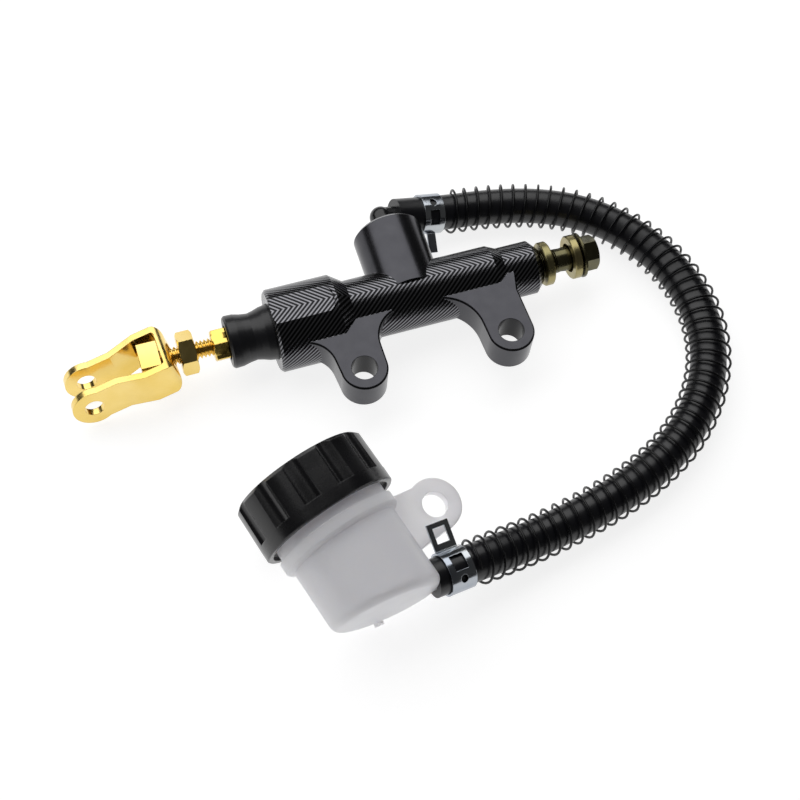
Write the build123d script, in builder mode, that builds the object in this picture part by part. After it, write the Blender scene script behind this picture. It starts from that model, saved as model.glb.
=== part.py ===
from build123d import *
import math
import os

# Rear brake master cylinder with a remote reservoir, lying on its side.
# Millimetres. The origin is midway between the two mounting holes, on the ears' top face.
# +X runs along the cylinder from the clevis to the outlet, +Z is the axis of the mounting holes.

os.makedirs("parts", exist_ok=True)

# ---------------------------------------------------------------- driving dimensions
HOLE_SPACING = 50.0        # mounting holes, centre to centre
HOLE_R = 4.25              # clearance hole for an M8 bolt
EAR_R = 7.7
EAR_T = 11.2

AXIS_Y = 25.1              # cylinder axis, measured from the mounting holes
AXIS_Z = -8.0              # and from the ears' top face
COLLAR_R = 13.9
TUBE_R = 10.7
NOSE_R = 9.1
OPEN_END_X = -48.9         # face of the collar, where the push rod goes in
PORT_END_X = 44.4          # face of the outlet nose
BORE_R = 6.35              # half-inch bore
BORE_END_X = 20.0
FLAT_DEPTH = 0.85          # milled flat along the top of the collar

BOSS_X = -1.1              # inlet boss, pointing along +Y
BOSS_R = 11.9
BOSS_H = 26.8              # rim above the cylinder axis
BOSS_FLOOR = 13.0
CAVITY_R = 8.6

ELBOW_H = 33.0             # height of the elbow's hose leg above the cylinder axis
ELBOW_R = 3.8
HOSE_SET = 5.2             # from the elbow's corner to the end of the hose
ELBOW_DROP = 16.0          # degrees that the hose leg points down
BARB_R = 3.5
BARB_REACH = 16.0          # length of a barb inside the hose

STROKE = 12.0
PISTON_REAR_X = -31.5
ROD_R = 3.0                # M6 push rod
ROD_END_X = -90.0
HEX_X = (-69.0, -63.7)     # wrench hex of the push rod
HEX_AF = 10.0

LOCK_NUT_X = (-80.1, -74.7)
LOCK_NUT_AF = 12.6
SQUARE_NUT_X = (-92.9, -86.4)
SQUARE_NUT_AF = 10.0

CLEVIS_X = -84.75          # inner face of the clevis bridge, on the rod's axis
CLEVIS_DROOP = 12.7        # the clevis hangs down this far on its floating nut
CLEVIS_YAW = 2.9
CLEVIS_ROLL = -12.4
CLEVIS_T = 2.5
CLEVIS_HALF_H = 6.4        # half height of the bridge and the arms
CLEVIS_GAP = 7.1           # half gap between the arms at the bridge
PIN_GAP = 4.4              # half gap between the arms at the pin
PIN_L = 26.5
PIN_R = 3.2
PIN_EYE_R = 7.1

BOLT_R = 4.95              # banjo bolt thread, M10
SHANK_R = 4.1
BOLT_AF = 10.5
FLANGE_X = 59.0

HOSE_R = 6.05
HOSE_BORE_R = 3.6
SPRING_R = 7.3             # mean radius of the spring guard
SPRING_WIRE_R = 0.5
CLAMP_W = (7.4, 8.5)       # upper and lower clamp

CAP_R = 22.5
CAP_H = 17.2
TANK_R = 17.9
NECK_R = 18.8
TANK_WALL = 1.7
RESERVOIR_AZ = 107.5       # direction of the cap, degrees from +X
RESERVOIR_TILT = 7.9       # the cap end is lifted this far
RESERVOIR_ROLL = 8.0       # the outlet and lug point down this far
OUTLET_S = -29.2           # outlet centre on the tank's axis, below the cap's edge
OUTLET_TILT = 10.0
OUTLET_REACH = 16.6        # tank axis to the end of the hose
LUG_S = -13.3
LUG_REACH = 31.0
LUG_R = 8.7
LUG_HOLE_R = 4.2
LUG_T = 3.2

REST_Z = AXIS_Z - COLLAR_R # the surface that the assembly lies on
CORD_Z = REST_Z + SPRING_R + SPRING_WIRE_R


# ---------------------------------------------------------------- frames
def spun(vector, about, degrees):
    """The vector turned by the right-hand rule about a line through the origin."""
    return Vector(vector).rotate(Axis((0, 0, 0), about), degrees)


axis_origin = Vector(0, AXIS_Y, AXIS_Z)
bore_axis = Axis(axis_origin, (1, 0, 0))
profile_plane = Plane(origin=axis_origin, x_dir=(1, 0, 0), z_dir=(0, -1, 0))


def across(x):
    """Plane square to the cylinder axis at x, facing +X, with its local y along +Z."""
    return Plane(origin=(x, AXIS_Y, AXIS_Z), x_dir=(0, 1, 0), z_dir=(1, 0, 0))


def boss_plane(height):
    return Plane(origin=(BOSS_X, AXIS_Y + height, AXIS_Z), x_dir=(1, 0, 0), z_dir=(0, 1, 0))


elbow_corner = Vector(BOSS_X, AXIS_Y + ELBOW_H, AXIS_Z)
elbow_dir = spun((1, 0, 0), (0, 1, 0), ELBOW_DROP)


def hung(vector):
    """The direction on the clevis as it hangs: drooped, swung sideways, then rolled."""
    return spun(spun(spun(vector, (0, 1, 0), -CLEVIS_DROOP), (0, 0, 1), CLEVIS_YAW), (1, 0, 0), CLEVIS_ROLL)


clevis_out = hung((-1, 0, 0))
clevis_up = hung((0, 0, 1))
clevis_plane = Plane(origin=(CLEVIS_X, AXIS_Y, AXIS_Z), x_dir=clevis_out, z_dir=clevis_up)
clevis_side = Plane(origin=clevis_plane.origin, x_dir=clevis_out, z_dir=-clevis_plane.y_dir)

cap_flat = Vector(math.cos(math.radians(RESERVOIR_AZ)), math.sin(math.radians(RESERVOIR_AZ)), 0)
cap_side = cap_flat.cross(Vector(0, 0, 1))
cap_dir = cap_flat.rotate(Axis((0, 0, 0), cap_side), RESERVOIR_TILT)
outlet_side = cap_side.rotate(Axis((0, 0, 0), cap_dir), RESERVOIR_ROLL)
rim_drop = CAP_R * math.cos(math.radians(RESERVOIR_TILT)) + 0.6 * math.sin(math.radians(RESERVOIR_TILT))
reservoir_origin = Vector(-50.7, -46.7, REST_Z + rim_drop)


def tank_plane(s):
    """Plane square to the reservoir's axis, s above the cap's lower edge."""
    return Plane(origin=reservoir_origin + cap_dir * s, x_dir=outlet_side, z_dir=cap_dir)


lug_plane = Plane(origin=reservoir_origin, x_dir=outlet_side, z_dir=outlet_side.cross(cap_dir))
tank_profile = Plane(origin=reservoir_origin, x_dir=outlet_side, z_dir=outlet_side.cross(cap_dir))
tank_axis = Axis(reservoir_origin, cap_dir)
outlet_dir = outlet_side.rotate(Axis((0, 0, 0), lug_plane.z_dir), -OUTLET_TILT)
outlet_origin = reservoir_origin + cap_dir * OUTLET_S


def outlet_plane(reach):
    return Plane(origin=outlet_origin + outlet_dir * reach, x_dir=lug_plane.z_dir, z_dir=outlet_dir)


# ---------------------------------------------------------------- hose route
# From the elbow to the reservoir: straight runs, rounded by tangent arcs below.
hose_start = elbow_corner + elbow_dir * HOSE_SET
hose_end = outlet_origin + outlet_dir * OUTLET_REACH
hose_points = [
    hose_start,
    hose_start + elbow_dir * 17.0,
    Vector(38.5, 56.0, CORD_Z),
    Vector(56.0, 51.6, CORD_Z),
    Vector(71.5, 43.5, CORD_Z),
    Vector(83.5, 31.0, CORD_Z),
    Vector(91.5, 15.5, CORD_Z),
    Vector(94.5, -2.0, CORD_Z),
    Vector(91.5, -19.5, CORD_Z),
    Vector(82.5, -35.0, CORD_Z),
    Vector(68.5, -48.0, CORD_Z),
    Vector(50.5, -57.0, CORD_Z),
    Vector(31.0, -62.5, CORD_Z),
    Vector(11.5, -66.0, CORD_Z),
    hose_end + outlet_dir * 18.3,
    hose_end,
]


def corner_radius(before, corner, after):
    """Largest tidy arc: 0.45 of the shorter run over the tangent of half the turn."""
    first = corner - before
    second = after - corner
    turn = math.radians(first.get_angle(second))
    return 0.45 * min(first.length, second.length) / math.tan(turn / 2)


corner_radii = [corner_radius(*hose_points[i - 1:i + 2]) for i in range(1, len(hose_points) - 1)]
print("hose corner radii, mm:", [round(r, 1) for r in corner_radii])

with BuildLine() as hose_route:
    FilletPolyline(*hose_points, radius=corner_radii)
hose_path = hose_route.wire()
print("hose length, mm:", round(hose_path.length, 1))
print("hose ends, mm:", hose_start, hose_points[-2], hose_end)


def save(part, name):
    part.label = name
    export_step(part, f"parts/{name}.step")


# ---------------------------------------------------------------- cylinder body
with BuildPart() as cylinder_body:
    # Ears: webs that widen into the tube, with round ends about the mounting holes.
    with BuildSketch(Plane.XY.offset(-EAR_T)) as left_ear:
        with BuildLine():
            Polyline((-46, AXIS_Y), (-46, 13.9), (-34.2, 13.9), (-32.7, 0), (-17.3, 0),
                     (-17.3, 18), (-4, 18), (-4, AXIS_Y), close=True)
        make_face()
        with Locations((-HOLE_SPACING / 2, 0)):
            Circle(EAR_R)
        fillet(left_ear.vertices().sort_by_distance((-34.2, 13.9))[0], 9.5)
        fillet(left_ear.vertices().sort_by_distance((-17.3, 18))[0], 11)
    extrude(amount=EAR_T)
    with BuildSketch(Plane.XY.offset(-EAR_T)) as right_ear:
        with BuildLine():
            Polyline((1, AXIS_Y), (1, 18), (16.2, 18), (17.3, 0), (32.7, 0),
                     (32.2, 14), (33.6, 20), (33.6, AXIS_Y), close=True)
        make_face()
        with Locations((HOLE_SPACING / 2, 0)):
            Circle(EAR_R)
        fillet(right_ear.vertices().sort_by_distance((16.2, 18))[0], 13.5)
    extrude(amount=EAR_T)
    chamfer(cylinder_body.edges().group_by(Axis.Z)[-1], 0.5)
    # Turned outside: collar, tube and outlet nose.
    with BuildSketch(profile_plane):
        with BuildLine():
            Polyline((OPEN_END_X, 0), (OPEN_END_X, COLLAR_R - 0.8), (OPEN_END_X + 0.8, COLLAR_R),
                     (-27, COLLAR_R), (-22.5, TUBE_R), (27.5, TUBE_R), (31, NOSE_R),
                     (PORT_END_X - 2.6, NOSE_R), (PORT_END_X, NOSE_R - 2.6), (PORT_END_X, 0),
                     close=True)
        make_face()
    revolve(axis=bore_axis)
    with BuildSketch(boss_plane(0)):
        Circle(BOSS_R)
    extrude(amount=BOSS_H)
    chamfer(cylinder_body.edges().group_by(Axis.Y)[-1], 1.2)
    with BuildSketch(Plane.XY.offset(AXIS_Z + COLLAR_R - FLAT_DEPTH)):
        with Locations((-40, AXIS_Y)):
            RectangleRounded(24, 9.8, 3.5)
    extrude(amount=5, mode=Mode.SUBTRACT)
    # Bored inside: boot socket, washer seat and snap-ring groove, bore, and threaded outlet.
    with BuildSketch(profile_plane):
        with BuildLine():
            Polyline((OPEN_END_X - 1, 0), (OPEN_END_X - 1, 9.5), (-38.5, 9.5), (-38.5, 7.0),
                     (-36.5, 7.0), (-36.5, 7.9), (-35.2, 7.9), (-35.2, 7.0), (-33.8, 7.0),
                     (-33.8, BORE_R), (BORE_END_X, BORE_R), (BORE_END_X, 1.5), (25, 1.5),
                     (27, BOLT_R + 0.05), (PORT_END_X + 1, BOLT_R + 0.05), (PORT_END_X + 1, 0),
                     close=True)
        make_face()
    revolve(axis=bore_axis, mode=Mode.SUBTRACT)
    # Inlet: elbow socket with a snap-ring groove, feed port and compensating port.
    with BuildSketch(boss_plane(BOSS_FLOOR)):
        Circle(CAVITY_R)
    extrude(amount=20, mode=Mode.SUBTRACT)
    with BuildSketch(boss_plane(17.6)):
        Circle(CAVITY_R + 0.9)
    extrude(amount=1.3, mode=Mode.SUBTRACT)
    with BuildSketch(boss_plane(0)):
        with Locations((-3.5, 0)):
            Circle(1.3)
        with Locations((1.5, 0)):
            Circle(0.5)
    extrude(amount=BOSS_FLOOR + 1, mode=Mode.SUBTRACT)
    with BuildSketch(Plane.XY.offset(-EAR_T)):
        with Locations((-HOLE_SPACING / 2, 0), (HOLE_SPACING / 2, 0)):
            Circle(HOLE_R)
    extrude(amount=EAR_T, mode=Mode.SUBTRACT)
save(cylinder_body.part, "cylinder_body")


# ---------------------------------------------------------------- inside the bore
with BuildPart() as piston:
    with BuildSketch(profile_plane):
        with BuildLine():
            Polyline((PISTON_REAR_X, 0), (PISTON_REAR_X, 6.2), (-28.5, 6.2), (-28.5, 4.4),
                     (-26.0, 4.4), (-26.0, 6.2), (-24.5, 6.2), (-22.5, 4.2), (-9.5, 4.2),
                     (-7.5, 6.2), (-5.5, 6.2), (-5.5, 3.0), (-1.0, 3.0), (-1.0, 0), close=True)
        make_face()
    revolve(axis=bore_axis)
    with Locations((PISTON_REAR_X, AXIS_Y, AXIS_Z)):
        Sphere(3.3, mode=Mode.SUBTRACT)
save(piston.part, "piston")


def cup_seal(x_back, x_lip, inner_r):
    """Lip seal on the piston: a heel at x_back and a lip that opens towards x_lip."""
    with BuildPart() as seal:
        with BuildSketch(profile_plane):
            with BuildLine():
                Polyline((x_back, inner_r), (x_back, 5.6), (x_back + 0.4, 6.0), (x_lip, 6.3),
                         (x_lip, 5.7), (x_back + 1.2, 4.9), (x_back + 1.2, inner_r), close=True)
            make_face()
        revolve(axis=bore_axis)
    return seal.part


save(cup_seal(-28.4, -26.1, 4.45), "secondary_cup")
save(cup_seal(-5.45, -2.2, 3.05), "primary_cup")

with BuildPart() as spring_seat:
    with BuildSketch(profile_plane):
        with BuildLine():
            Polyline((-0.9, 0), (-0.9, 4.9), (0.3, 4.9), (0.3, 3.0), (2.5, 2.6), (2.5, 0),
                     close=True)
        make_face()
    revolve(axis=bore_axis)
save(spring_seat.part, "spring_seat")

SPRING_TURNS = 6.5
return_radius = 3.9
return_wire_r = 0.55
return_start = 0.3 + return_wire_r
return_length = BORE_END_X - return_wire_r - return_start
with BuildPart() as return_spring:
    with BuildLine() as coil:
        Helix(pitch=return_length / SPRING_TURNS, height=return_length, radius=return_radius,
              center=(return_start, AXIS_Y, AXIS_Z), direction=(1, 0, 0))
    with BuildSketch(Plane(origin=coil.line @ 0, z_dir=coil.line % 0)):
        Circle(return_wire_r)
    sweep(path=coil.wire(), is_frenet=True)
save(return_spring.part, "return_spring")

with BuildPart() as stop_washer:
    with BuildSketch(across(-35.1)):
        Circle(6.9)
        Circle(4.0, mode=Mode.SUBTRACT)
    extrude(amount=1.2)
save(stop_washer.part, "stop_washer")


def snap_ring(plane, outer_r, inner_r, thickness, gap_angle):
    """Internal snap ring: an open ring with two eyed ends."""
    with BuildPart() as ring:
        with BuildSketch(plane):
            Circle(outer_r)
            Circle(inner_r, mode=Mode.SUBTRACT)
            with Locations(Rotation(0, 0, gap_angle)):
                with Locations((0, outer_r)):
                    Rectangle(2.2, 2 * (outer_r - inner_r) + 0.6, mode=Mode.SUBTRACT)
            for side in (-1, 1):
                with PolarLocations(inner_r - 0.1, 1, gap_angle + 90 + side * 22):
                    Circle(1.1)
                    Circle(0.5, mode=Mode.SUBTRACT)
        extrude(amount=thickness)
    return ring.part


save(snap_ring(across(-36.3), 7.7, 6.2, 1.0, 0), "rod_snap_ring")
save(snap_ring(boss_plane(17.75), 9.3, 7.9, 1.0, 180), "elbow_snap_ring")


# ---------------------------------------------------------------- push rod and its nuts
def wrench_hex(x_from, x_to, across_flats, turn):
    """Hexagonal prism on the cylinder axis, its corners bevelled at both ends."""
    corner = across_flats / math.sqrt(3)
    bevel = 0.6 * (corner - across_flats / 2)
    with BuildPart() as prism:
        with BuildSketch(across(x_from)):
            RegularPolygon(across_flats / 2, 6, major_radius=False, rotation=turn)
        extrude(amount=x_to - x_from)
        with BuildSketch(profile_plane):
            with BuildLine():
                Polyline((x_from, 0), (x_from, across_flats / 2), (x_from + bevel, corner),
                         (x_to - bevel, corner), (x_to, across_flats / 2), (x_to, 0), close=True)
            make_face()
        revolve(axis=bore_axis, mode=Mode.INTERSECT)
    return prism.part


with BuildPart() as push_rod:
    with BuildSketch(profile_plane):
        with BuildLine():
            Polyline((ROD_END_X, 0), (ROD_END_X, ROD_R - 0.6), (ROD_END_X + 0.6, ROD_R),
                     (-33.5, ROD_R), (-33.5, 4.4), (-32.3, 4.4), (-32.3, 2.4), (-31.5, 2.4),
                     (-31.5, 0), close=True)
        make_face()
    revolve(axis=bore_axis)
    add(wrench_hex(*HEX_X, HEX_AF, -5))
    with Locations((PISTON_REAR_X, AXIS_Y, AXIS_Z)):
        Sphere(3.0)
save(push_rod.part, "push_rod")

with BuildPart() as lock_nut:
    add(wrench_hex(*LOCK_NUT_X, LOCK_NUT_AF, 25))
    with BuildSketch(across(LOCK_NUT_X[0])):
        Circle(ROD_R + 0.05)
    extrude(amount=LOCK_NUT_X[1] - LOCK_NUT_X[0], mode=Mode.SUBTRACT)
save(lock_nut.part, "lock_nut")

with BuildPart() as square_nut:
    with BuildSketch(across(SQUARE_NUT_X[0])):
        Rectangle(SQUARE_NUT_AF, SQUARE_NUT_AF)
        Circle(ROD_R + 0.05, mode=Mode.SUBTRACT)
    extrude(amount=SQUARE_NUT_X[1] - SQUARE_NUT_X[0])
    chamfer(square_nut.edges().filter_by(Axis.X).sort_by_distance(axis_origin)[-4:], 0.5)
save(square_nut.part, "square_nut")

# Clevis: one bent plate. Its plan is the U with joggled arms, its side view the arm's outline.
JOGGLE = (7.0, 16.0)
with BuildPart() as clevis:
    with BuildSketch(clevis_plane.offset(-10)) as clevis_plan:
        for grow, mode in ((CLEVIS_T, Mode.ADD), (0, Mode.SUBTRACT)):
            with BuildLine():
                Polyline((-grow, 0), (-grow, CLEVIS_GAP + grow), (JOGGLE[0], CLEVIS_GAP + grow),
                         (JOGGLE[1], PIN_GAP + grow), (40, PIN_GAP + grow), (40, -PIN_GAP - grow),
                         (JOGGLE[1], -PIN_GAP - grow), (JOGGLE[0], -CLEVIS_GAP - grow),
                         (-grow, -CLEVIS_GAP - grow), close=True)
            make_face(mode=mode)
        for side in (-1, 1):
            outer = (-CLEVIS_T, side * (CLEVIS_GAP + CLEVIS_T))
            inner = (0, side * CLEVIS_GAP)
            fillet(clevis_plan.vertices().sort_by_distance(outer)[0], 3.2)
            fillet(clevis_plan.vertices().sort_by_distance(inner)[0], 1.0)
    extrude(amount=20)
    with BuildSketch(clevis_side.offset(-15)) as clevis_outline:
        with Locations(((PIN_L + 2 - CLEVIS_T) / 2, 0)):
            RectangleRounded(PIN_L + 2 + CLEVIS_T, 2 * CLEVIS_HALF_H, 3.5)
        with Locations((PIN_L, 0)):
            Circle(PIN_EYE_R)
    extrude(amount=30, mode=Mode.INTERSECT)
    with BuildSketch(clevis_side.offset(-15)):
        with Locations((PIN_L, 0)):
            Circle(PIN_R)
    extrude(amount=30, mode=Mode.SUBTRACT)
    with BuildSketch(Plane(origin=clevis_plane.origin, x_dir=clevis_up, z_dir=-clevis_out)):
        Circle(4.4)
    extrude(amount=CLEVIS_T + 1, both=True, mode=Mode.SUBTRACT)
save(clevis.part, "clevis")

with BuildPart() as dust_boot:
    with BuildSketch(profile_plane):
        with BuildLine():
            Polyline((-39.0, 7.6), (-39.0, 9.4), (-49.2, 9.3), (-51.6, 8.9), (-53.8, 8.2),
                     (-55.6, 7.8), (-58.0, 8.1), (-60.5, 8.7), (-63.2, 8.8), (-63.9, 8.2),
                     (-63.9, 5.9), (-62.6, 5.9), (-62.6, 7.3), (-60.2, 7.2), (-57.4, 6.7),
                     (-55.6, 6.5), (-53.8, 6.9), (-51.6, 7.6), (-49.2, 8.0), (-41.0, 8.0),
                     (-41.0, 7.6), close=True)
        make_face()
    revolve(axis=bore_axis)
save(dust_boot.part, "dust_boot")


# ---------------------------------------------------------------- outlet: banjo bolt and washers
with BuildPart() as banjo_bolt:
    with BuildSketch(profile_plane):
        with BuildLine():
            Polyline((33, 0), (33, BOLT_R - 0.8), (33.8, BOLT_R), (49.0, BOLT_R),
                     (49.8, SHANK_R), (FLANGE_X, SHANK_R), (FLANGE_X, 7.4), (FLANGE_X + 0.3, 7.7),
                     (FLANGE_X + 0.9, 7.7), (FLANGE_X + 1.5, 6.2), (FLANGE_X + 1.5, 0), close=True)
        make_face()
    revolve(axis=bore_axis)
    add(wrench_hex(FLANGE_X + 0.4, FLANGE_X + 6.2, BOLT_AF, 25))
    with BuildSketch(across(32)):
        Circle(1.6)
    extrude(amount=22, mode=Mode.SUBTRACT)
    with BuildSketch(Plane(origin=(52.5, AXIS_Y, AXIS_Z), x_dir=(1, 0, 0), z_dir=(0, 0.91, 0.42))):
        Circle(1.4)
    extrude(amount=6, both=True, mode=Mode.SUBTRACT)
save(banjo_bolt.part, "banjo_bolt")


def sealing_washer(x, thickness, inner_r):
    with BuildPart() as washer:
        with BuildSketch(across(x)):
            Circle(7.5)
            Circle(inner_r, mode=Mode.SUBTRACT)
        extrude(amount=thickness)
        chamfer(washer.edges().sort_by(SortBy.LENGTH)[-2:], 0.35)
    return washer.part


save(sealing_washer(45.6, 2.8, BOLT_R + 0.1), "inner_sealing_washer")
save(sealing_washer(55.6, 2.8, SHANK_R + 0.9), "outer_sealing_washer")


# ---------------------------------------------------------------- inlet elbow
def barb_profile(reach):
    """Half outline of a hose barb along local x, from the shoulder to the tip."""
    points = [(0, BARB_R)]
    for ridge in (5.0, 9.0, 13.0):
        points += [(ridge, BARB_R), (ridge, BARB_R + 0.4), (ridge + 2.4, BARB_R)]
    return points + [(reach - 0.5, BARB_R), (reach, BARB_R - 0.5)]


with BuildPart() as inlet_elbow:
    with BuildSketch(boss_plane(BOSS_FLOOR + 0.1)):
        Circle(5.6)
    extrude(amount=2.2)
    with BuildSketch(boss_plane(BOSS_FLOOR + 2.0)):
        Circle(CAVITY_R - 0.3)
    extrude(amount=2.5)
    with BuildSketch(boss_plane(BOSS_FLOOR + 4)):
        Circle(ELBOW_R)
    extrude(amount=ELBOW_H - BOSS_FLOOR - 4)
    with Locations(elbow_corner):
        Sphere(ELBOW_R)
    elbow_side = Plane(origin=elbow_corner, x_dir=elbow_dir, z_dir=(0, 1, 0))
    with BuildSketch(elbow_side) as elbow_leg:
        with BuildLine():
            tip = HOSE_SET + BARB_REACH
            leg = [(x + HOSE_SET, r) for x, r in barb_profile(BARB_REACH)]
            Polyline((0, 0), (0, BARB_R), *leg, (tip, 0), close=True)
        make_face()
    revolve(axis=Axis(elbow_corner, elbow_dir))
    with BuildSketch(boss_plane(BOSS_FLOOR)):
        Circle(2.2)
    extrude(amount=ELBOW_H - BOSS_FLOOR, mode=Mode.SUBTRACT)
    with BuildSketch(Plane(origin=elbow_corner, x_dir=(0, 1, 0), z_dir=elbow_dir)):
        Circle(2.2)
    extrude(amount=HOSE_SET + BARB_REACH + 1, mode=Mode.SUBTRACT)
save(inlet_elbow.part, "inlet_elbow")

with BuildPart() as elbow_seal:
    with Locations(boss_plane(BOSS_FLOOR + 1.0)):
        Torus(7.05, 0.9)
save(elbow_seal.part, "elbow_seal")


# ---------------------------------------------------------------- reservoir
FLOOR_DROP = 10.0          # degrees that the tank's floor falls towards the outlet
FLOOR_S = -32.8            # floor on the tank's axis


def floor_plane(s):
    return Plane(origin=reservoir_origin + cap_dir * s, x_dir=lug_plane.z_dir,
                 z_dir=cap_dir.rotate(Axis((0, 0, 0), lug_plane.z_dir), -FLOOR_DROP))


with BuildPart() as tank_space:
    with BuildSketch(tank_plane(-45)):
        Circle(TANK_R - TANK_WALL)
    extrude(amount=55)
    split(bisect_by=floor_plane(FLOOR_S + 2.2), keep=Keep.TOP)
    fillet(tank_space.faces().sort_by(tank_axis)[0].edges(), 2.0)
    # The wall is thicker behind the outlet.
    with BuildSketch(outlet_plane(OUTLET_REACH - 3.2)):
        Circle(HOSE_R + 1.6)
    extrude(amount=20, mode=Mode.SUBTRACT)

with BuildPart() as reservoir_tank:
    with BuildSketch(tank_plane(-45)):
        Circle(TANK_R)
    extrude(amount=40)
    split(bisect_by=floor_plane(FLOOR_S), keep=Keep.TOP)
    fillet(reservoir_tank.faces().sort_by(tank_axis)[0].edges(), 3.0)
    with BuildSketch(tank_profile):
        with BuildLine():
            Polyline((0, -10), (TANK_R, -10), (TANK_R, -8.4), (19.2, -8.0), (19.9, -7.2),
                     (19.9, -3.8), (NECK_R, -3.6), (NECK_R, 9.0), (0, 9.0), close=True)
        make_face()
    revolve(axis=tank_axis)
    with BuildSketch(lug_plane) as lug_outline:
        with BuildLine():
            Polyline((14, -4.4), (20, -4.4), (LUG_REACH - 3.6, LUG_S + 8.0), (LUG_REACH, LUG_S),
                     (LUG_REACH - 1.2, LUG_S - 8.6), (17.5, -23), (14, -23), close=True)
        make_face()
        with Locations((LUG_REACH, LUG_S)):
            Circle(LUG_R)
    extrude(amount=LUG_T / 2, both=True)
    with BuildSketch(lug_plane):
        with Locations((LUG_REACH, LUG_S)):
            Circle(LUG_HOLE_R)
    extrude(amount=LUG_T, both=True, mode=Mode.SUBTRACT)
    with BuildSketch(outlet_plane(OUTLET_REACH)):
        Circle(HOSE_R + 0.35)
    extrude(amount=10, mode=Mode.SUBTRACT)
    with BuildSketch(Plane(origin=hose_end, x_dir=outlet_dir, z_dir=lug_plane.z_dir)):
        with BuildLine():
            Polyline((-6, 0), (-6, BARB_R), *barb_profile(11.0)[:-5], (10.4, BARB_R),
                     (11.0, BARB_R - 0.6), (11.0, 0), close=True)
        make_face()
    revolve(axis=Axis(hose_end, outlet_dir))
    # Moulding gate, a nub on the floor.
    with BuildSketch(floor_plane(FLOOR_S - 1.0)):
        with Locations((-15.5, 0)):
            Circle(1.6)
    extrude(amount=2.5)
    add(tank_space.part, mode=Mode.SUBTRACT)
    with BuildSketch(outlet_plane(OUTLET_REACH - 8)):
        Circle(2.2)
    extrude(amount=25, mode=Mode.SUBTRACT)
save(reservoir_tank.part, "reservoir_tank")

FLUTES = 12
with BuildPart() as reservoir_cap:
    with BuildSketch(tank_profile):
        with BuildLine():
            Polyline((0, CAP_H), (CAP_R - 1.4, CAP_H), (CAP_R - 0.2, CAP_H - 1.2),
                     (CAP_R, 3), (CAP_R, -0.6), (CAP_R - 0.4, -1), (20.6, -1), (20.6, 0.6),
                     (NECK_R + 0.3, 1.2), (NECK_R + 0.3, 12.6), (0, 12.6), close=True)
        make_face()
    revolve(axis=tank_axis)
    with BuildSketch(tank_plane(3.4)):
        with PolarLocations(CAP_R + 2.8, FLUTES, start_angle=8):
            Circle(4.2)
    extrude(amount=20, mode=Mode.SUBTRACT)
save(reservoir_cap.part, "reservoir_cap")

with BuildPart() as diaphragm:
    with BuildSketch(tank_profile):
        with BuildLine():
            Polyline((0, 3.0), (11.5, 3.0), (13.0, 4.2), (13.0, 7.2), (14.2, 9.1), (18.4, 9.1),
                     (18.4, 10.3), (13.6, 10.3), (12.0, 7.6), (12.0, 4.8), (11.0, 4.0), (0, 4.0),
                     close=True)
        make_face()
    revolve(axis=tank_axis)
save(diaphragm.part, "reservoir_diaphragm")

with BuildPart() as diaphragm_plate:
    with BuildSketch(tank_plane(10.4)):
        Circle(18.2)
        Circle(1.5, mode=Mode.SUBTRACT)
    extrude(amount=1.2)
save(diaphragm_plate.part, "diaphragm_plate")


# ---------------------------------------------------------------- hose, spring guard and clamps
with BuildPart() as hose:
    with BuildSketch(Plane(origin=hose_path @ 0, z_dir=hose_path % 0)) as hose_section:
        Circle(HOSE_R)
        Circle(HOSE_BORE_R, mode=Mode.SUBTRACT)
    sweep(path=hose_path)
save(hose.part, "hose")
print("hose volume over section times length:",
      round(hose.part.volume / (hose_section.sketch.area * hose_path.length), 4))

CLAMP_AT = (13.0, 7.9)     # middle of each clamp, from its end of the hose
GUARD_GAP = (0.6, 1.2)     # from each clamp to the spring guard
guard_start = CLAMP_AT[0] + CLAMP_W[0] / 2 + GUARD_GAP[0]
guard_end = hose_path.length - CLAMP_AT[1] - CLAMP_W[1] / 2 - GUARD_GAP[1]
guard_path = hose_path.trim(guard_start / hose_path.length, guard_end / hose_path.length)
with BuildPart() as hose_spring_guard:
    # The envelope of the coil, thin enough to weigh what the wire weighs.
    with BuildSketch(Plane(origin=guard_path @ 0, z_dir=guard_path % 0)):
        Circle(SPRING_R + SPRING_WIRE_R)
        Circle(SPRING_R + SPRING_WIRE_R - 0.3, mode=Mode.SUBTRACT)
    sweep(path=guard_path)
save(hose_spring_guard.part, "hose_spring_guard")


def hose_clamp(along, width, tang_side, tang_reach, tang_width):
    """Spring-band clamp: a band with slots along both sides and one upright tang."""
    middle = hose_path @ (along / hose_path.length)
    run = hose_path % (along / hose_path.length)
    tang_dir = (Vector(tang_side) - run * run.dot(Vector(tang_side))).normalized()
    band_plane = Plane(origin=middle, x_dir=tang_dir, z_dir=run)
    band_in = HOSE_R + 0.2
    band_out = band_in + 0.7
    with BuildPart() as clamp:
        with BuildSketch(band_plane.offset(-width / 2)):
            Circle(band_out)
            Circle(band_in, mode=Mode.SUBTRACT)
        extrude(amount=width)
        tang_plane = Plane(origin=middle, x_dir=tang_dir, z_dir=tang_dir.cross(run))
        with BuildSketch(tang_plane.offset(-0.4)):
            with Locations((band_in + 0.4 + tang_reach / 2, 0)):
                Rectangle(tang_reach, tang_width)
            if tang_width > 5:
                with Locations((band_in + 0.4 + tang_reach * 0.55, 0)):
                    Rectangle(tang_reach * 0.55, tang_width - 3.2, mode=Mode.SUBTRACT)
        extrude(amount=0.8)
        with BuildSketch(tang_plane.offset(-12)):
            with Locations((2.2, 0)):
                Rectangle(4.8, width - 4.0)
            with Locations((-3.0, 0)):
                Circle(1.2)
        extrude(amount=24, mode=Mode.SUBTRACT)
    return clamp.part


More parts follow.
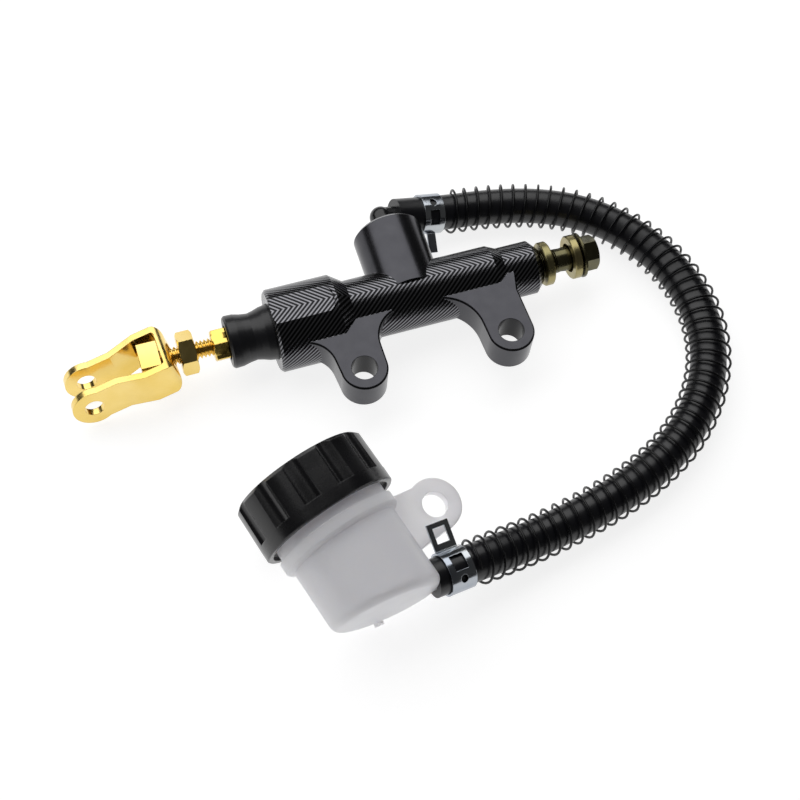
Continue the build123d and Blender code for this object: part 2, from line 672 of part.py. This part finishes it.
save(hose_clamp(CLAMP_AT[0], CLAMP_W[0], (0, -1, -0.5), 7.0, 3.0), "upper_hose_clamp")
save(hose_clamp(hose_path.length - CLAMP_AT[1], CLAMP_W[1], (0, 1, 0.35), 9.0, 7.4),
     "lower_hose_clamp")
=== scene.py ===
"""A rear brake master cylinder with its remote reservoir, lying on a white table."""
import math

import bpy
from mathutils import Matrix, Vector


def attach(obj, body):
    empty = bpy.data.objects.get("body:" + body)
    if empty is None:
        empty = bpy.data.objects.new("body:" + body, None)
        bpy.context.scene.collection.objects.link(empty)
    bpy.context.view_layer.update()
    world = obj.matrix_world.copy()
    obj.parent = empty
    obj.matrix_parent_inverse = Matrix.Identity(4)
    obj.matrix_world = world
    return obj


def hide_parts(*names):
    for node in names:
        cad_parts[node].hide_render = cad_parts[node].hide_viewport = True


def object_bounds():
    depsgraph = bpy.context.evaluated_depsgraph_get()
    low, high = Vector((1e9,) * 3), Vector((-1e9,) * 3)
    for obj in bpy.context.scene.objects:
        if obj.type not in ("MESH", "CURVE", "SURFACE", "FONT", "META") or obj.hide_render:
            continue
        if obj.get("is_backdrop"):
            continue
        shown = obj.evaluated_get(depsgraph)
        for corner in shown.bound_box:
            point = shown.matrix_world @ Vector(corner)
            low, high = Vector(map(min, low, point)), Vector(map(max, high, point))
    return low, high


MM = 0.001
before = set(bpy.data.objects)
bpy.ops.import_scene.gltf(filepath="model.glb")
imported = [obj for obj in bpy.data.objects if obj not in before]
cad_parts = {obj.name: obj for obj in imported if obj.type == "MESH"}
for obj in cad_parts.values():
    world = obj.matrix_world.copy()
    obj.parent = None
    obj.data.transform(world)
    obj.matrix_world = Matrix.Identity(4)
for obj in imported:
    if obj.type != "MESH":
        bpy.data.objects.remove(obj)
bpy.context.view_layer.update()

# ---------------------------------------------------------------- dimensions, in metres
AXIS_Y = 25.1 * MM         # cylinder axis
AXIS_Z = -8.0 * MM
HOSE_R = 6.05 * MM
COIL_R = 7.3 * MM          # spring guard: mean radius, wire radius and pitch
COIL_WIRE_R = 0.42 * MM
COIL_PITCH = 4.2 * MM
COIL_START = 19.0 * MM     # from the elbow's end of the hose
COIL_STOP = 13.5 * MM      # short of the reservoir's end
ROD_R = 3.0 * MM
ROD_PITCH = 1.25 * MM
ROD_HEX_TURN = math.radians(25)
BOLT_PITCH = 1.25 * MM
MARK_PITCH = 1.8 * MM      # machining marks on the body, along the axis
MARK_SLANT = 1.17          # how far a chevron runs along the axis for each mm around it
COLLAR_LIMIT = 14.05 * MM  # just outside the turned radii: only what lies within is marked
TUBE_LIMIT = 10.8 * MM
NOSE_STEP = 1.6 * MM
SHOULDER_X = (-27 * MM, -22.5 * MM)
NOSE_X = (27.5 * MM, 31 * MM)
EAR_HOLE_X = 25 * MM
EAR_HOLE_R = 4.32 * MM
THREAD_STOP_X = 50.5 * MM  # the banjo bolt is threaded up to here
TABLE_HALF = 6.0
CORD_Z = -14.1             # centre of the hose where it lies, in millimetres

# The hose's route, the same points as the CAD model's, from the elbow to the reservoir.
HOSE_POINTS = [
    (3.899, 58.1, -9.433),
    (20.240, 58.1, -14.119),
    (38.5, 56.0, CORD_Z),
    (56.0, 51.6, CORD_Z),
    (71.5, 43.5, CORD_Z),
    (83.5, 31.0, CORD_Z),
    (91.5, 15.5, CORD_Z),
    (94.5, -2.0, CORD_Z),
    (91.5, -19.5, CORD_Z),
    (82.5, -35.0, CORD_Z),
    (68.5, -48.0, CORD_Z),
    (50.5, -57.0, CORD_Z),
    (31.0, -62.5, CORD_Z),
    (11.5, -66.0, CORD_Z),
    (-7.935, -69.148, -9.115),
    (-25.799, -71.841, -6.194),
]


# ---------------------------------------------------------------- materials
class Surface:
    """A Principled material whose inputs are driven by procedural nodes."""

    def __init__(self, name, color, roughness, metallic=0.0, **inputs):
        self.material = bpy.data.materials.new(name)
        self.material.use_nodes = True
        self.tree = self.material.node_tree
        self.shader = self.tree.nodes["Principled BSDF"]
        self.put("Base Color", (*color, 1.0))
        self.put("Roughness", roughness)
        self.put("Metallic", metallic)
        for label, value in inputs.items():
            self.put(label.replace("_", " "), value)

    def put(self, label, value):
        socket = self.shader.inputs[label]
        if isinstance(value, bpy.types.NodeSocket):
            self.tree.links.new(value, socket)
        else:
            socket.default_value = value

    def node(self, kind, inputs=(), **settings):
        made = self.tree.nodes.new(kind)
        for key, value in settings.items():
            setattr(made, key, value)
        for key, value in dict(inputs).items():
            if isinstance(value, bpy.types.NodeSocket):
                self.tree.links.new(value, made.inputs[key])
            else:
                made.inputs[key].default_value = value
        return made

    def math(self, operation, *values):
        return self.node("ShaderNodeMath", enumerate(values), operation=operation).outputs[0]

    def place(self):
        """The point of the piece, in the object's own metres."""
        return self.node("ShaderNodeTexCoord").outputs["Object"]

    def noise(self, scale, detail=3.0, stretch=(1, 1, 1)):
        mapped = self.node("ShaderNodeMapping", {"Vector": self.place(), "Scale": stretch})
        made = self.node("ShaderNodeTexNoise",
                         {"Vector": mapped.outputs[0], "Scale": scale, "Detail": detail})
        return made.outputs["Fac"]

    def spread(self, value, low, high, start=0.0, end=1.0):
        """The value's run from start to end, remapped from low to high."""
        return self.node("ShaderNodeMapRange", {"Value": value, "From Min": start, "From Max": end,
                                                "To Min": low, "To Max": high}).outputs[0]

    def blend(self, factor, first, second):
        made = self.node("ShaderNodeMix", {"Factor": factor}, data_type="RGBA")
        for index, color in ((6, first), (7, second)):
            if isinstance(color, bpy.types.NodeSocket):
                self.tree.links.new(color, made.inputs[index])
            else:
                made.inputs[index].default_value = (*color, 1.0)
        return made.outputs[2]

    def bump(self, height, distance, strength=1.0, rounded=0.0):
        """Bump of that height in metres, on edges rounded to that radius."""
        inputs = {"Height": height, "Distance": distance, "Strength": strength}
        if rounded:
            inputs["Normal"] = self.node("ShaderNodeBevel", {"Radius": rounded}, samples=6).outputs[0]
        self.put("Normal", self.node("ShaderNodeBump", inputs).outputs[0])


def anodised_body():
    """Satin black, with the cutter's chevrons on the turned faces and plain ears and boss."""
    s = Surface("anodised_black", (0.055, 0.055, 0.06), 0.3, metallic=1.0)
    place = s.node("ShaderNodeSeparateXYZ", {0: s.place()})
    x, y, z = place.outputs
    across = s.math("SUBTRACT", y, AXIS_Y)
    height = s.math("SUBTRACT", z, AXIS_Z)
    radius = s.math("SQRT", s.math("ADD", s.math("POWER", across, 2.0), s.math("POWER", height, 2.0)))
    angle = s.math("ABSOLUTE", s.math("ARCTAN2", across, height))
    arc = s.math("MULTIPLY", angle, radius)
    phase = s.math("DIVIDE", s.math("ADD", x, s.math("MULTIPLY", arc, MARK_SLANT)), MARK_PITCH)
    ridge = s.spread(s.math("SINE", s.math("MULTIPLY", phase, 2 * math.pi)), 0.0, 1.0, -1.0, 1.0)
    fine = s.noise(900, 2.0, (1, 4, 4))
    # The turned outside's radius at x: collar, tube, then nose.
    shoulder = s.spread(x, COLLAR_LIMIT, TUBE_LIMIT, *SHOULDER_X)
    limit = s.math("SUBTRACT", shoulder, s.spread(x, 0.0, NOSE_STEP, *NOSE_X))
    marked = s.math("LESS_THAN", radius, limit)
    sharp = s.math("POWER", ridge, 2.2)
    marks = s.blend(s.math("MULTIPLY", sharp, s.spread(fine, 0.55, 1.0)),
                    (0.010, 0.010, 0.011), (0.30, 0.30, 0.32))
    face = s.blend(s.noise(220, 3.0), (0.050, 0.050, 0.056), (0.070, 0.070, 0.077))
    outside = s.blend(marked, face, marks)
    # Painted shade: the walls of the ear holes are coloured near black, for the shade that falls inside
    # them.
    from_hole = s.math("SUBTRACT", s.math("ABSOLUTE", x), EAR_HOLE_X)
    off_hole = s.math("SQRT", s.math("ADD", s.math("POWER", from_hole, 2.0), s.math("POWER", y, 2.0)))
    s.put("Base Color", s.blend(s.math("LESS_THAN", off_hole, EAR_HOLE_R), outside, (0.012, 0.012, 0.013)))
    s.put("Roughness", s.spread(s.noise(60), 0.20, 0.28))
    relief = s.math("ADD", s.math("MULTIPLY", s.math("MULTIPLY", ridge, marked), 0.8),
                    s.math("MULTIPLY", fine, 0.12))
    s.bump(relief, 0.05 * MM, 0.8, rounded=0.25 * MM)
    return s.material


def bolt_plating():
    """Dark olive zinc, with the thread's ridges next to the inner washer."""
    s = Surface("bolt_zinc", (0.10, 0.098, 0.06), 0.24, metallic=1.0)
    x, y, z = s.node("ShaderNodeSeparateXYZ", {0: s.place()}).outputs
    turn = s.math("ARCTAN2", s.math("SUBTRACT", z, AXIS_Z), s.math("SUBTRACT", y, AXIS_Y))
    phase = s.math("SUBTRACT", s.math("DIVIDE", x, BOLT_PITCH), s.math("DIVIDE", turn, 2 * math.pi))
    wave = s.math("SINE", s.math("MULTIPLY", phase, 2 * math.pi))
    threaded = s.math("LESS_THAN", x, THREAD_STOP_X)
    cloud = s.spread(s.noise(90, 4.0), 0.0, 1.0, 0.35, 0.65)
    s.put("Base Color", s.blend(cloud, (0.085, 0.085, 0.055), (0.13, 0.118, 0.062)))
    s.put("Roughness", s.spread(s.noise(400, 4.0), 0.18, 0.32, 0.3, 0.7))
    s.bump(s.math("MULTIPLY", wave, threaded), 0.3 * MM, 0.9, rounded=0.25 * MM)
    return s.material


def zinc(name, color, tint, roughness, patch=60, metallic=1.0):
    """Zinc plating: bright, with faint clouds of a second tint and fine handling marks."""
    s = Surface(name, color, roughness, metallic=metallic)
    cloud = s.spread(s.noise(patch, 4.0), 0.0, 1.0, 0.35, 0.65)
    s.put("Base Color", s.blend(cloud, color, tint))
    s.put("Roughness", s.spread(s.noise(patch * 4, 5.0), roughness - 0.05, roughness + 0.09, 0.3, 0.7))
    s.bump(s.noise(1400, 3.0), 0.012 * MM, 0.6, rounded=0.25 * MM)
    return s.material


def rubber(name, color, roughness):
    s = Surface(name, color, roughness, Specular_IOR_Level=0.5)
    s.put("Roughness", s.spread(s.noise(90, 4.0), roughness - 0.05, roughness + 0.07, 0.3, 0.7))
    dust = s.spread(s.noise(700, 3.0), 0.0, 0.25, 0.62, 0.8)
    s.put("Base Color", s.blend(dust, color, tuple(c * 3 for c in color)))
    s.bump(s.noise(1600, 4.0), 0.02 * MM, 0.5)
    return s.material


def moulded(name, color, roughness, grain=1500, rounded=0.3):
    """Satin moulded plastic with a fine grain."""
    s = Surface(name, color, roughness, Specular_IOR_Level=0.5)
    s.put("Roughness", s.spread(s.noise(110, 3.0), roughness - 0.04, roughness + 0.06, 0.3, 0.7))
    s.bump(s.noise(grain, 4.0), 0.015 * MM, 0.6, rounded=rounded * MM)
    return s.material


def milky_plastic():
    """Natural polyethylene: light goes through the wall and comes out soft, and a faint painted glow
    brightens it.
    """
    s = Surface("milky_tank", (0.97, 0.965, 0.985), 0.34, Subsurface_Weight=1.0,
                Subsurface_Scale=0.006, Subsurface_Radius=(1.0, 0.95, 0.9),
                Transmission_Weight=0.3, IOR=1.4)
    cloud = s.spread(s.noise(45, 3.0), 0.0, 1.0, 0.35, 0.65)
    s.put("Base Color", s.blend(cloud, (0.91, 0.90, 0.94), (0.95, 0.94, 0.97)))
    s.put("Roughness", s.spread(s.noise(160, 3.0), 0.3, 0.42, 0.3, 0.7))
    # Painted light: a faint emission makes the tank glow brighter than the lamps alone would light it.
    s.put("Emission Color", (0.93, 0.92, 0.97, 1.0))
    s.put("Emission Strength", 0.05)
    s.bump(s.noise(500, 4.0), 0.03 * MM, 0.5, rounded=0.4 * MM)
    return s.material


def drawn_wire():
    s = Surface("black_wire", (0.004, 0.004, 0.005), 0.3, Specular_IOR_Level=0.3)
    s.put("Roughness", s.spread(s.noise(800, 3.0), 0.24, 0.4, 0.3, 0.7))
    s.bump(s.noise(2500, 3.0), 0.01 * MM, 0.5)
    return s.material


def table_top():
    """A pale sheet, lit from below like a light table."""
    s = Surface("white_table", (0.35, 0.35, 0.35), 0.7, Emission_Strength=0.85)
    s.put("Base Color", s.blend(s.noise(4.0, 2.0), (0.345, 0.345, 0.345), (0.355, 0.355, 0.355)))
    s.put("Emission Color", s.blend(s.noise(3.0, 2.0), (0.985, 0.985, 0.985), (1.0, 1.0, 1.0)))
    s.put("Roughness", s.spread(s.noise(12.0, 2.0), 0.62, 0.74))
    return s.material


GOLD = zinc("gold_zinc", (0.80, 0.56, 0.13), (0.90, 0.68, 0.24), 0.16)
WASHER = zinc("washer_zinc", (0.30, 0.27, 0.13), (0.38, 0.32, 0.15), 0.3)
BRIGHT = zinc("bright_zinc", (0.34, 0.37, 0.42), (0.52, 0.54, 0.55), 0.14)
STEEL = zinc("plain_steel", (0.42, 0.42, 0.42), (0.5, 0.5, 0.5), 0.3)
ALLOY = zinc("machined_alloy", (0.62, 0.62, 0.6), (0.68, 0.68, 0.66), 0.28)
RUBBER = rubber("smooth_rubber", (0.005, 0.005, 0.007), 0.3)
BOOT = rubber("boot_rubber", (0.007, 0.007, 0.009), 0.34)
CAP = moulded("cap_plastic", (0.005, 0.005, 0.006), 0.24)
ELBOW = moulded("elbow_plastic", (0.005, 0.005, 0.006), 0.22)
PLATE = moulded("plate_plastic", (0.6, 0.6, 0.58), 0.4)

for node, surface in {
    "cylinder_body": anodised_body(),
    "inlet_elbow": ELBOW,
    "elbow_seal": BOOT,
    "elbow_snap_ring": STEEL,
    "upper_hose_clamp": BRIGHT,
    "lower_hose_clamp": BRIGHT,
    "reservoir_tank": milky_plastic(),
    "reservoir_cap": CAP,
    "reservoir_diaphragm": BOOT,
    "diaphragm_plate": PLATE,
    "inner_sealing_washer": WASHER,
    "outer_sealing_washer": WASHER,
    "clevis": GOLD,
    "square_nut": GOLD,
    "lock_nut": GOLD,
    "dust_boot": BOOT,
    "stop_washer": STEEL,
    "rod_snap_ring": STEEL,
    "piston": ALLOY,
    "primary_cup": BOOT,
    "secondary_cup": BOOT,
    "spring_seat": STEEL,
    "return_spring": STEEL,
    "banjo_bolt": bolt_plating(),
    "push_rod": GOLD,
    "hose": RUBBER,
    "hose_spring_guard": RUBBER,
}.items():
    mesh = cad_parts[node].data
    mesh.materials.clear()
    mesh.materials.append(surface)


# ---------------------------------------------------------------- meshes
def piece(name, vertices, faces, surface, sharp=35):
    mesh = bpy.data.meshes.new(name)
    mesh.from_pydata(vertices, [], faces)
    mesh.polygons.foreach_set("use_smooth", [True] * len(mesh.polygons))
    mesh.set_sharp_from_angle(angle=math.radians(sharp))
    mesh.materials.append(surface)
    made = bpy.data.objects.new(name, mesh)
    bpy.context.scene.collection.objects.link(made)
    return made


def skin(rings, closed=True, caps=True):
    """Vertices and faces of a surface through rings of points, all of one count."""
    count = len(rings[0])
    vertices = [point for ring in rings for point in ring]
    faces = []
    for row in range(len(rings) - 1):
        for column in range(count if closed else count - 1):
            after = (column + 1) % count
            faces.append((row * count + column, row * count + after,
                          (row + 1) * count + after, (row + 1) * count + column))
    if caps:
        faces.append(tuple(reversed(range(count))))
        faces.append(tuple(range((len(rings) - 1) * count, len(rings) * count)))
    return vertices, faces


def around_axis(x, radius_at, steps=96):
    """A ring about the cylinder axis at x, whose radius may depend on the angle."""
    ring = []
    for step in range(steps):
        angle = 2 * math.pi * step / steps
        radius = radius_at(angle)
        ring.append((x, AXIS_Y + radius * math.cos(angle), AXIS_Z + radius * math.sin(angle)))
    return ring


def lathe(profile):
    return [around_axis(x, lambda angle, r=r: r) for x, r in profile]


def thread(start, end, crest, pitch, depth=0.6):
    """Rings of a helical thread, with the crest's radius fading in at its start."""
    steps = round((end - start) / pitch * 12)

    def radius_at(x):
        lead = min(1.0, (x - start) / (1.5 * pitch) + 0.35)

        def radius(angle):
            turn = (x / pitch - angle / (2 * math.pi)) % 1.0
            groove = min(1.0, max(0.0, 1.3 - abs(turn - 0.5) * 3.4))
            return crest - depth * pitch * max(groove, 1 - lead)
        return radius

    return [around_axis(start + (end - start) * i / steps, radius_at(start + (end - start) * i / steps))
            for i in range(steps + 1)]


def hexagon(x, flats, limit):
    """A ring of a hexagon across those flats, with its corners turned down to limit."""
    def radius(angle):
        from_flat = (angle - ROD_HEX_TURN + math.pi / 6) % (math.pi / 3) - math.pi / 6
        return min(limit, flats / 2 / math.cos(from_flat))
    return around_axis(x, radius)


def hex_head(start, end, flats):
    """Rings of a hex whose corners are chamfered at both faces."""
    corner = flats / math.sqrt(3)
    dip = 0.45 * (corner - flats / 2 * 0.96)
    return [hexagon(start, flats, flats / 2 * 0.96), hexagon(start + dip, flats, corner),
            hexagon(end - dip, flats, corner), hexagon(end, flats, flats / 2 * 0.96)]


def threaded_push_rod():
    shaft = lathe([(-64.2 * MM, ROD_R), (-33.5 * MM, ROD_R), (-33.5 * MM, 4.4 * MM), (-32.3 * MM, 4.4 * MM),
                   (-32.3 * MM, 2.4 * MM), (-31.6 * MM, 2.4 * MM)])
    ball = lathe([((-31.5 + 3.0 * math.sin(math.radians(a))) * MM, 3.0 * MM * math.cos(math.radians(a)))
                  for a in range(-50, 90, 10)])
    vertices, faces = [], []
    for rings in (thread(-90 * MM, -68.6 * MM, ROD_R, ROD_PITCH), hex_head(-69 * MM, -63.7 * MM, 10 * MM),
                  shaft, ball):
        more, sides = skin(rings)
        faces += [tuple(i + len(vertices) for i in side) for side in sides]
        vertices += more
    made = piece("threaded_push_rod", vertices, faces, GOLD)
    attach(made, "push_rod")
    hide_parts("push_rod")


threaded_push_rod()


# ---------------------------------------------------------------- hose and its coil
def spline(name, points, bevel):
    curve = bpy.data.curves.new(name, "CURVE")
    curve.dimensions = "3D"
    curve.resolution_u = 24
    curve.bevel_depth = bevel
    curve.bevel_resolution = 12
    curve.use_fill_caps = True
    line = curve.splines.new("NURBS")
    line.points.add(len(points) - 1)
    for control, point in zip(line.points, points):
        control.co = (*(c * MM for c in point), 1.0)
    line.order_u = 3
    line.use_endpoint_u = True
    made = bpy.data.objects.new(name, curve)
    bpy.context.scene.collection.objects.link(made)
    return made


def centre_line(points):
    """Points close together on the route's spline, as Blender draws it."""
    bare = spline("route", points, 0.0)
    bpy.context.view_layer.update()
    mesh = bpy.data.meshes.new_from_object(bare.evaluated_get(bpy.context.evaluated_depsgraph_get()))
    line = [v.co.copy() for v in mesh.vertices]
    bpy.data.objects.remove(bare)
    return line


def resample(line, step):
    """The same line at equal steps, as (distance, point, direction)."""
    found, travelled, wanted = [], 0.0, 0.0
    for before, after in zip(line, line[1:]):
        length = (after - before).length
        while wanted <= travelled + length:
            found.append((wanted, before.lerp(after, (wanted - travelled) / length),
                          (after - before).normalized()))
            wanted += step
        travelled += length
    return found


route = centre_line(HOSE_POINTS)
route_length = sum((b - a).length for a, b in zip(route, route[1:]))
hose = spline("reservoir_hose", HOSE_POINTS, HOSE_R)
hose.data.materials.append(RUBBER)
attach(hose, "cylinder")
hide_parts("hose")


def wire_coil(name, line, start, end):
    """A round wire wound about the line, at one radius all the way."""
    steps_a_turn = 28
    wire_sides = 8
    samples = resample(line, COIL_PITCH / steps_a_turn)
    up = Vector((0, 0, 1))
    rings = []
    for distance, point, along in samples:
        if not start <= distance <= end:
            continue
        side = along.cross(up).normalized()
        over = side.cross(along)
        angle = 2 * math.pi * distance / COIL_PITCH
        spoke = side * math.cos(angle) + over * math.sin(angle)
        wire_along = (along * COIL_PITCH / (2 * math.pi)
                      + (over * math.cos(angle) - side * math.sin(angle)) * COIL_R).normalized()
        across = wire_along.cross(spoke)
        centre = point + spoke * COIL_R
        rings.append([tuple(centre + (spoke * math.cos(t) + across * math.sin(t)) * COIL_WIRE_R)
                      for t in (2 * math.pi * k / wire_sides for k in range(wire_sides))])
    return piece(name, *skin(rings), drawn_wire(), sharp=80)


coil = wire_coil("spring_guard", route, COIL_START, route_length - COIL_STOP)
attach(coil, "cylinder")
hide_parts("hose_spring_guard")


# ---------------------------------------------------------------- stage, light and camera
def stage():
    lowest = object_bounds()[0][2]
    corners = [(x * TABLE_HALF, y * TABLE_HALF, lowest)
               for x, y in ((-1, -1), (1, -1), (1, 1), (-1, 1))]
    table = piece("table", corners, [(0, 1, 2, 3)], table_top())
    table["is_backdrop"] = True


def softbox(name, place, target, size, power, color=(1, 1, 1)):
    light = bpy.data.lights.new(name, "AREA")
    light.shape = "RECTANGLE"
    light.size, light.size_y = size
    light.energy = power
    light.color = color
    made = bpy.data.objects.new(name, light)
    made.location = place
    made.rotation_euler = (Vector(target) - Vector(place)).to_track_quat("-Z", "Y").to_euler()
    bpy.context.scene.collection.objects.link(made)


def studio():
    world = bpy.data.worlds.new("studio")
    bpy.context.scene.world = world
    world.use_nodes = True
    world.node_tree.nodes["Background"].inputs["Color"].default_value = (1, 1, 1, 1)
    world.node_tree.nodes["Background"].inputs["Strength"].default_value = 0.05
    softbox("overhead", (-0.15, 0.46, 0.655), (0, 0, 0), (1.6, 0.82), 7.4)


def camera():
    lens = bpy.data.cameras.new("camera")
    lens.lens = 65.42
    lens.sensor_width = 36
    lens.clip_end = 20
    made = bpy.data.objects.new("camera", lens)
    right = Vector((0.95111, -0.30415, 0.05369))
    up = Vector((0.24982, 0.85982, 0.44531))
    back = right.cross(up)
    turned = Matrix((right, up, back)).transposed().to_4x4()
    made.matrix_world = Matrix.Translation((-0.1012, -0.2028, 0.4110)) @ turned
    bpy.context.scene.collection.objects.link(made)
    bpy.context.scene.camera = made


stage()
studio()
camera()
bpy.context.scene.view_settings.view_transform = "Standard"
bpy.context.scene.view_settings.look = "None"
